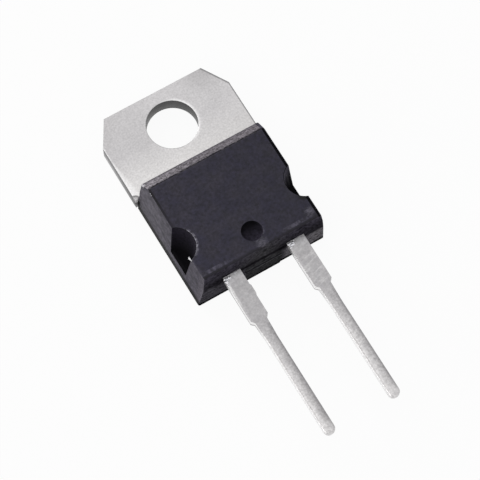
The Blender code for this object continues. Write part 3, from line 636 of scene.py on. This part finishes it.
# Painted shadow: a dark line along the flank's foot, where it stands on the floor
foot_shadow = add(eroded, "Math", {0: craters, 1: -0.5 * MM, 2: height}, operation="MULTIPLY_ADD")[0]
foot_shadow = add(eroded, "MapRange", {0: foot_shadow, 1: 0.55 * MM, 2: 0.25 * MM})[0]
flank = add(eroded, "Mix", {0: foot_shadow, 6: flank, 7: "0D0C0F"}, data_type="RGBA")[2]
is_bevel = add(eroded, "MapRange", {
    0: add(eroded, "Math", {0: facing[1], 1: facing[2]}, operation="MULTIPLY")[0], 1: 0.22, 2: 0.36
})[0]
to_right = add(eroded, "MapRange", {0: across, 1: -BODY_SIDE_X, 2: 0})[0]
bevel = add(eroded, "Mix", {0: to_right, 6: "8A858B", 7: "746F75"}, data_type="RGBA")[2]
ragged = add(eroded, "Math", {0: craters, 1: 0.5 * MM, 2: height}, operation="MULTIPLY_ADD")[0]
ragged = add(eroded, "MapRange", {0: ragged, 1: BODY_TOP_Z + 0.13 * MM, 2: BODY_TOP_Z + 0.2 * MM})[0]
bevel = add(eroded, "Mix", {0: ragged, 6: bevel, 7: "1D1B22"}, data_type="RGBA")[2]
colour = add(eroded, "Mix", {0: is_bevel, 6: flank, 7: bevel}, data_type="RGBA")[2]
is_end = add(eroded, "MapRange", {0: facing[1], 1: -0.3, 2: -0.8})[0]
colour = add(eroded, "Mix", {0: is_end, 6: colour, 7: "3A3842"}, data_type="RGBA")[2]
# Painted shade: faces turned to the right are darker
right_facing_shade = add(eroded, "MapRange", {0: facing[0], 1: 0.1, 2: 0.4})[0]
colour = add(eroded, "Mix", {0: right_facing_shade, 6: colour, 7: "2B2A30"}, data_type="RGBA")[2]
# Painted glints: white flecks on the front corner and on the face's left edge near it
front_corner = (SIDE_DRAFT * 0.8 - BODY_SIDE_X, MOULD_FRONT_Y - 0.3 * MM, BODY_TOP_Z - 0.6 * MM)
painted_glints = near_spot(eroded, place, front_corner, 0.6 * MM)
face_edge = (-FACE_SIDE_X, MOULD_FRONT_Y - 1.3 * MM, BODY_TOP_Z)
painted_glints = add(eroded, "Math", {
    0: painted_glints, 1: near_spot(eroded, place, face_edge, 0.45 * MM)
}, operation="MAXIMUM")[0]
painted_glints = add(eroded, "Math", {0: painted_glints, 1: 0.5, 2: grain}, operation="MULTIPLY_ADD")[0]
painted_glints = add(eroded, "MapRange", {0: painted_glints, 1: 0.9, 2: 0.98})[0]
sparks = add(eroded, "Math", {0: craters, 1: grain}, operation="ADD")[0]
spread = add(eroded, "MapRange", {0: is_bevel, 3: 0.4, 4: 0.75})[0]
sparks = add(eroded, "MapRange", {0: sparks, 1: 0.7, 2: 1.3, 3: -1, 4: 1})[0]
sparks = add(eroded, "Math", {0: sparks, 1: spread, 2: 1}, operation="MULTIPLY_ADD")[0]
colour = add(eroded, "Mix", {0: painted_glints, 6: colour, 7: "CFCDD2"}, data_type="RGBA")[2]

# Beside the tab the front end of each flank is painted as a narrow black strip of shadow, as high as
# the tab is thick
tab_gap_shadow = add(eroded, "MapRange", {
    0: along, 1: MOULD_FRONT_Y - 0.33 * MM, 2: MOULD_FRONT_Y - 0.27 * MM
})[0]
below_tab_top = add(eroded, "Math", {0: height, 1: TAB_TOP_Z}, operation="LESS_THAN")[0]
tab_gap_shadow = add(eroded, "Math", {0: tab_gap_shadow, 1: below_tab_top}, operation="MULTIPLY")[0]
colour = add(eroded, "Mix", {0: tab_gap_shadow, 6: colour, 7: "020202"}, data_type="RGBA")[2]
moulded(eroded, colour, sparks, grain, craters, 0.05)

# The same epoxy at the lead end, given no sheen so that it stays dark, standing in for the shade it
# lies in: purple above the parting line, black along it, and streaked and greyer below.
dull = new_material("dull black moulding epoxy")
place = add(dull, "TexCoord")["Object"]
across, _, height = add(dull, "SeparateXYZ", {0: place})
coarse = add(dull, "TexNoise", {"Vector": place, "Scale": 1 / (0.22 * MM), "Detail": 4})[0]
grain = add(dull, "TexNoise", {"Vector": place, "Scale": 1 / (0.12 * MM), "Detail": 2})[0]
streaks = add(dull, "TexNoise", {
    "Vector": add(dull, "Mapping", {"Vector": place, "Scale": (0.3, 1, 1)})[0],
    "Scale": 1 / (0.25 * MM), "Detail": 3,
})[0]
upper = add(dull, "Mix", {
    0: add(dull, "MapRange", {0: height, 1: PARTING_Z + 0.3 * MM, 2: BODY_TOP_Z})[0], 6: "2F2D33",
    7: "3F3C46"
}, data_type="RGBA")[2]
in_middle = near_spot(dull, place, (0, MOULD_END_Y, PARTING_Z + 0.9 * MM), 2.4 * MM)
upper = add(dull, "Mix", {0: in_middle, 6: upper, 7: "424144"}, data_type="RGBA")[2]
to_right = add(dull, "MapRange", {0: across, 1: BOSS_SIDE + 0.2 * MM, 2: BOSS_SIDE + 0.5 * MM})[0]
lower = add(dull, "Mix", {0: to_right, 6: "49474D", 7: "706D72"}, data_type="RGBA")[2]
is_boss = add(dull, "Math", {0: across, 1: 0, 2: BOSS_SIDE}, operation="COMPARE")[0]
# Painted highlight: a light line along the top edge of the boss
boss_edge_highlight = add(dull, "Math", {0: height, 1: BOSS_TOP_Z, 2: 0.1 * MM}, operation="COMPARE")[0]
boss_edge_highlight = add(dull, "Math", {0: boss_edge_highlight, 1: is_boss}, operation="MULTIPLY")[0]
lower = add(dull, "Mix", {0: is_boss, 6: lower, 7: "3A3A3C"}, data_type="RGBA")[2]
lower = add(dull, "Mix", {0: boss_edge_highlight, 6: lower, 7: "525254"}, data_type="RGBA")[2]
is_lower = add(dull, "MapRange", {0: height, 1: PARTING_Z - 0.1 * MM, 2: PARTING_Z - 0.35 * MM})[0]
colour = add(dull, "Mix", {0: is_lower, 6: upper, 7: lower}, data_type="RGBA")[2]
# The parting line is painted black, partly as shade over the leads' roots, most strongly in the middle
parting_line_and_shade = add(dull, "Math", {0: height, 1: PARTING_Z + 0.02 * MM}, operation="SUBTRACT")[0]
parting_line_and_shade = add(dull, "Math", {0: parting_line_and_shade}, operation="ABSOLUTE")[0]
to_side = add(dull, "Math", {0: across}, operation="ABSOLUTE")[0]
plain = add(dull, "MapRange", {0: to_side, 1: 1.4 * MM, 2: 2.2 * MM, 3: 0.9, 4: 0.2})[0]
parting_line_and_shade = add(dull, "MapRange", {0: parting_line_and_shade, 1: 0.2 * MM, 2: 0.08 * MM, 4: plain})[0]
colour = add(dull, "Mix", {0: parting_line_and_shade, 6: colour, 7: "141216"}, data_type="RGBA")[2]
for lead_x in (-LEAD_X, LEAD_X):
    shaded = near_spot(dull, place, (lead_x - LEAD_SIDE - 0.2 * MM, MOULD_END_Y, PARTING_Z), 0.9 * MM)
    colour = add(dull, "Mix", {0: shaded, 6: colour, 7: "19171B"}, data_type="RGBA")[2]
# Painted shadow: a dark line along the foot of the lead end
foot_shadow = add(dull, "MapRange", {0: height, 1: 0.55 * MM, 2: 0.3 * MM})[0]
colour = add(dull, "Mix", {0: foot_shadow, 6: colour, 7: "0D0C0E"}, data_type="RGBA")[2]
streaked = add(dull, "Math", {0: streaks, 1: 0.5, 2: coarse}, operation="MULTIPLY_ADD")[0]
streaked = add(dull, "MapRange", {0: streaked, 1: 0.55, 2: 0.95, 3: 0.4, 4: 1.6})[0]
moulded(dull, colour, streaked, grain, coarse, 0)

# Painted shade: deep in the notches and in the ejector pin's dimple the epoxy is painted near black,
# with painted light towards the top of the notches, on the right side's upper walls and in the
# dimple's lower half. A narrow strip down the face's right edge and the rim's right-hand rounds are
# painted black the same way.
painted_shade = new_material("black moulding epoxy in painted shade")
place = add(painted_shade, "TexCoord")["Object"]
across, along, height = add(painted_shade, "SeparateXYZ", {0: place})
grain = add(painted_shade, "TexNoise", {"Vector": place, "Scale": 1 / (0.18 * MM), "Detail": 3})[0]
in_dimple = add(painted_shade, "VectorMath", {0: place, 1: (0, DIMPLE_Y, BODY_TOP_Z)}, operation="DISTANCE")[1]
in_dimple = add(painted_shade, "Math", {0: in_dimple, 1: 1.2 * MM}, operation="LESS_THAN")[0]
lower_half = add(painted_shade, "MapRange", {
    0: along, 1: DIMPLE_Y + 0.5 * DIMPLE_RADIUS, 2: DIMPLE_Y - DIMPLE_RADIUS
})[0]
notch = add(painted_shade, "Mix", {
    0: add(painted_shade, "MapRange", {0: height, 1: 1.5 * MM, 2: 4 * MM})[0], 6: "0C0B0E", 7: "211E27"
}, data_type="RGBA")[2]
on_right = add(painted_shade, "Math", {0: across, 1: 0}, operation="GREATER_THAN")[0]
right_rim = add(painted_shade, "MapRange", {0: height, 1: 3 * MM, 2: BODY_TOP_Z})[0]
right_rim = add(painted_shade, "Math", {0: right_rim, 1: on_right}, operation="MULTIPLY")[0]
off_top = add(painted_shade, "Math", {0: height, 1: BODY_TOP_Z - 0.04 * MM}, operation="LESS_THAN")[0]
right_rim = add(painted_shade, "Math", {0: right_rim, 1: off_top}, operation="MULTIPLY")[0]
notch = add(painted_shade, "Mix", {0: right_rim, 6: notch, 7: "4A4753"}, data_type="RGBA")[2]
notch = add(painted_shade, "Mix", {0: off_top, 6: "0D0C10", 7: notch}, data_type="RGBA")[2]
colour = add(painted_shade, "Mix", {
    0: in_dimple, 6: notch,
    7: add(painted_shade, "Mix", {0: lower_half, 6: "0D0C10", 7: "322F3A"}, data_type="RGBA")[2]
}, data_type="RGBA")[2]
mottle = add(painted_shade, "MapRange", {0: grain, 1: 0.3, 2: 0.7, 3: 0.5, 4: 1.5})[0]
moulded(painted_shade, colour, mottle, grain, grain, 0.03)

# The face's rim, worn smooth and a little shiny where it is handled, with a painted highlight: a thin
# light line round the left notch and down the front of the left edge.
worn = new_material("worn rim of black moulding epoxy with painted highlight")
place = add(worn, "TexCoord")["Object"]
across, along, _ = add(worn, "SeparateXYZ", {0: place})
grain = add(worn, "TexNoise", {"Vector": place, "Scale": 1 / (0.2 * MM), "Detail": 3})[0]
left_notch = add(worn, "VectorMath", {0: place, 1: NOTCH_WORN_AT}, operation="DISTANCE")[1]
left_notch = add(worn, "MapRange", {0: left_notch, 1: 1.25 * MM, 2: 0.75 * MM})[0]
at_front = add(worn, "MapRange", {0: along, 1: MOULD_FRONT_Y - 2.4 * MM, 2: MOULD_FRONT_Y - 1 * MM})[0]
is_left = add(worn, "Math", {0: across, 1: -0.8 * BODY_SIDE_X}, operation="LESS_THAN")[0]
at_front = add(worn, "Math", {0: at_front, 1: is_left}, operation="MULTIPLY")[0]
rubbed = add(worn, "Math", {0: left_notch, 1: at_front}, operation="MAXIMUM")[0]
patchy = add(worn, "MapRange", {0: grain, 1: 0.35, 2: 0.6})[0]
rubbed = add(worn, "Math", {0: rubbed, 1: patchy}, operation="MULTIPLY")[0]
colour = add(worn, "Mix", {0: rubbed, 6: "2A2830", 7: "C4C1CC"}, data_type="RGBA")[2]
even = add(worn, "MapRange", {0: grain, 3: 0.8, 4: 1.2})[0]
moulded(worn, colour, even, grain, grain, 0.3)


def is_notch(face):
    """Whether a face of the body is inside one of the half-round notches in its sides."""
    middle = face.calc_center_median()
    draft = SIDE_DRAFT - RIGHT_STEEPER if middle.x > 0 else SIDE_DRAFT
    side_x = BODY_SIDE_X - draft * middle.z / BODY_TOP_Z
    off_axis = math.hypot(abs(middle.x) - BODY_SIDE_X, middle.y - NOTCH_Y)
    return (
        off_axis < NOTCH_RADIUS + 2 * CLOSE_BY and abs(middle.x) < side_x - CLOSE_BY
        and NOTCH_FLOOR_Z - CLOSE_BY < middle.z < BODY_TOP_Z - CLOSE_BY
    )


def is_dimple(face):
    """Whether a face of the body is inside the round dimple that the ejector pin leaves."""
    middle = face.calc_center_median()
    off_axis = math.hypot(middle.x, middle.y - DIMPLE_Y)
    below_face = BODY_TOP_Z - middle.z
    return off_axis < DIMPLE_RADIUS and 0.002 * MM < below_face < DEEPER_THAN_DIMPLE


SATIN, ERODED, DULL, PAINTED_SHADE, WORN = range(5)
DARK_EDGE_X = FACE_SIDE_X + RIGHT_STEEPER - DARK_EDGE_WIDTH
body = joined_copy("mould_body")

# The boss below the leads stands a little further out at its top than its solid, so that its step
# shows, and the right flank is a little steeper
boss_top = {v for f in body.faces if f.normal.y < -0.6 for v in f.verts if v.co.z > 1 * MM and all(
    abs(w.co.x) < BOSS_SIDE + CLOSE_BY and w.co.z < BOSS_TOP_Z + CLOSE_BY for w in f.verts
)}
bmesh.ops.translate(body, verts=list(boss_top), vec=(0, -BOSS_STEP, 0))
for vert in body.verts:
    if vert.co.x > BESIDE_LEADS_X:
        vert.co.x += RIGHT_STEEPER * vert.co.z / BODY_TOP_Z
bmesh.ops.bisect_plane(
    body, geom=body.verts[:] + body.edges[:] + body.faces[:], plane_co=(DARK_EDGE_X, 0, 0),
    plane_no=(1, 0, 0),
)
rims = [
    e for e in body.edges
    if all(v.co.z > BODY_TOP_Z - CLOSE_BY for v in e.verts)
    and e.calc_face_angle(0) > math.radians(40)
]
rim_faces = set(bmesh.ops.bevel(
    body, geom=rims, offset=RIM_ROUND, segments=3, profile=0.5, affect="EDGES", material=-1
)["faces"])

# Where the notches cut the rim, the bevel leaves slivers, which are merged away
bmesh.ops.remove_doubles(body, verts=body.verts, dist=5 * SAME_POINT)
body.normal_update()
# The notches, the dimple, the face's narrow right strip and the rim's right-hand rounds take the
# painted shade; the rest of the rim takes the worn rim with its painted highlight
for face in body.faces:
    on_right = face.calc_center_median().x > DARK_EDGE_X and face.normal.z > 0.3
    if is_notch(face) or is_dimple(face) or on_right:
        face.material_index = PAINTED_SHADE
    elif face in rim_faces and face.normal.y > -0.3:
        on_left = face.calc_center_median().x < 0 or abs(face.normal.x) < 0.1
        face.material_index = WORN if on_left else PAINTED_SHADE
    elif face.normal.y < -0.6:
        face.material_index = DULL
    elif abs(face.normal.x) > 0.7 or face.normal.y > 0.3:
        face.material_index = ERODED
finished_piece(
    "body_moulded", body, [satin, eroded, dull, painted_shade, worn], ["mould_body"]
)

# Flash
# A flake of thin epoxy flash is left on the rear corner of the left notch, painted white as a glint.
FLAKE_AT = (-BODY_SIDE_X + 0.43 * MM, NOTCH_Y - 1.2 * MM, BODY_TOP_Z - 0.12 * MM)
FLAKE_RADIUS = 0.09 * MM
FLAKE_THICKNESS = 0.03 * MM
FLAKE_TILT = Matrix.Rotation(math.radians(-25), 3, "X")
flake_glint_look = new_material("epoxy flash painted white as a glint")
place = add(flake_glint_look, "TexCoord")["Object"]
flecks = add(flake_glint_look, "TexNoise", {"Vector": place, "Scale": 1 / (0.06 * MM), "Detail": 2})[0]
colour = add(flake_glint_look, "Mix", {0: flecks, 6: "D8D7DC", 7: "FBFBFC"}, data_type="RGBA")[2]
rough = add(flake_glint_look, "MapRange", {0: flecks, 3: 0.4, 4: 0.7})[0]
shader = add(flake_glint_look, "BsdfPrincipled", {"Base Color": colour, "Roughness": rough})
add(flake_glint_look, "OutputMaterial", {"Surface": shader[0]})
flake = bmesh.new()
bmesh.ops.create_circle(flake, cap_ends=True, segments=9, radius=FLAKE_RADIUS)
for corner, vert in enumerate(flake.verts):
    vert.co *= 0.75 + 0.3 * (corner % 3)
bmesh.ops.scale(flake, verts=flake.verts, vec=(0.6, 2.4, 1))
bmesh.ops.solidify(flake, geom=flake.faces[:], thickness=FLAKE_THICKNESS)
bmesh.ops.rotate(flake, verts=flake.verts, matrix=FLAKE_TILT)
bmesh.ops.translate(flake, verts=flake.verts, vec=FLAKE_AT)
bmesh.ops.recalc_face_normals(flake, faces=flake.faces)
finished_piece("notch_flash", flake, [flake_glint_look])

# Camera, at the photograph's angle
# Above the lead end and a little to the left, looking down by 68 degrees.
azimuth, elevation, roll = math.radians(-31.157), math.radians(68.068), math.radians(0.584)
LOOKS_AT = Vector((-0.309 * MM, 1.484 * MM, 1 * MM))
DISTANCE = 152.578 * MM
back = Vector((
    math.sin(azimuth) * math.cos(elevation),
    -math.cos(azimuth) * math.cos(elevation),
    math.sin(elevation),
))
level_right = Vector((0, 0, 1)).cross(back).normalized()
level_up = back.cross(level_right)
camera_right = math.cos(roll) * level_right + math.sin(roll) * level_up
camera_up = math.cos(roll) * level_up - math.sin(roll) * level_right
lens = bpy.data.cameras.new("photo view")
lens.lens = 163.847
lens.sensor_width = 36
lens.clip_start = 0.01
camera = bpy.data.objects.new("photo view", lens)
turned = Matrix((camera_right, camera_up, back)).transposed().to_4x4()
turned.translation = LOOKS_AT + back * DISTANCE
camera.matrix_world = turned
bpy.context.collection.objects.link(camera)
bpy.context.scene.camera = camera

# Floor, backdrop and lamps
# A white paper floor, which the camera and reflections see as plain white with the diode's soft
# shadow on it, and a white studio round it. Two large soft lamps stand behind and to the left.
PAPER = "F4F4F3"
FLOOR_HALF = 1.5
FLOOR_DROP = 0.005 * MM
SHADOW_SHARE = 0.06


def seen_directly(material):
    """1 for camera, glossy and transmission rays, which are to see plain white."""
    rays = add(material, "LightPath")
    seen = add(material, "Math", {
        0: rays["Is Camera Ray"], 1: rays["Is Glossy Ray"]
    }, operation="MAXIMUM")[0]
    return add(material, "Math", {0: seen, 1: rays["Is Transmission Ray"]}, operation="MAXIMUM")[0]


paper = new_material("white paper")
place = add(paper, "TexCoord")["Object"]
fibres = add(paper, "TexNoise", {"Vector": place, "Scale": 1 / (0.8 * MM), "Detail": 4})[0]
lit = add(paper, "BsdfDiffuse", {
    "Color": add(paper, "Mix", {0: fibres, 6: PAPER, 7: "FAFAF9"}, data_type="RGBA")[2]
})[0]
plain = add(paper, "Emission", {"Color": "FFFFFF", "Strength": 1})[0]
share = add(paper, "Math", {0: seen_directly(paper), 1: 1 - SHADOW_SHARE}, operation="MULTIPLY")[0]
add(paper, "OutputMaterial", {"Surface": add(paper, "MixShader", {0: share, 1: lit, 2: plain})[0]})
sheet = bmesh.new()
bmesh.ops.create_grid(sheet, x_segments=1, y_segments=1, size=FLOOR_HALF)
bmesh.ops.translate(sheet, verts=sheet.verts, vec=(0, 0, -FLOOR_DROP))
floor_mesh = bpy.data.meshes.new("floor")
sheet.to_mesh(floor_mesh)
sheet.free()
floor_mesh.materials.append(paper)
floor = bpy.data.objects.new("floor", floor_mesh)
bpy.context.collection.objects.link(floor)

studio = bpy.data.worlds.new("studio")
studio.use_nodes = True
studio.node_tree.nodes.clear()
white = add(studio, "Background", {"Color": "FCFCFC", "Strength": 1})[0]
soft = add(studio, "Background", {"Color": "FFFFFF", "Strength": 0.5})[0]
add(studio, "OutputWorld", {
    "Surface": add(studio, "MixShader", {0: seen_directly(studio), 1: soft, 2: white})[0]
})
bpy.context.scene.world = studio


def lamp(name, place, side, level):
    """A square soft lamp that faces the diode, level times as bright as white paper."""
    light = bpy.data.lights.new(name, "AREA")
    light.shape = "SQUARE"
    light.size = side
    light.energy = level * math.pi * side * side
    hung = bpy.data.objects.new(name, light)
    hung.location = place
    hung.rotation_euler = Vector(place).to_track_quat("Z", "Y").to_euler()
    bpy.context.collection.objects.link(hung)


lamp("back lamp", (-0.05, 0.3, 0.14), 0.22, 2.6)
lamp("left lamp", (-0.3, 0.0, 0.12), 0.2, 2.2)

bpy.context.scene.view_settings.view_transform = "Standard"
bpy.context.view_layer.update()
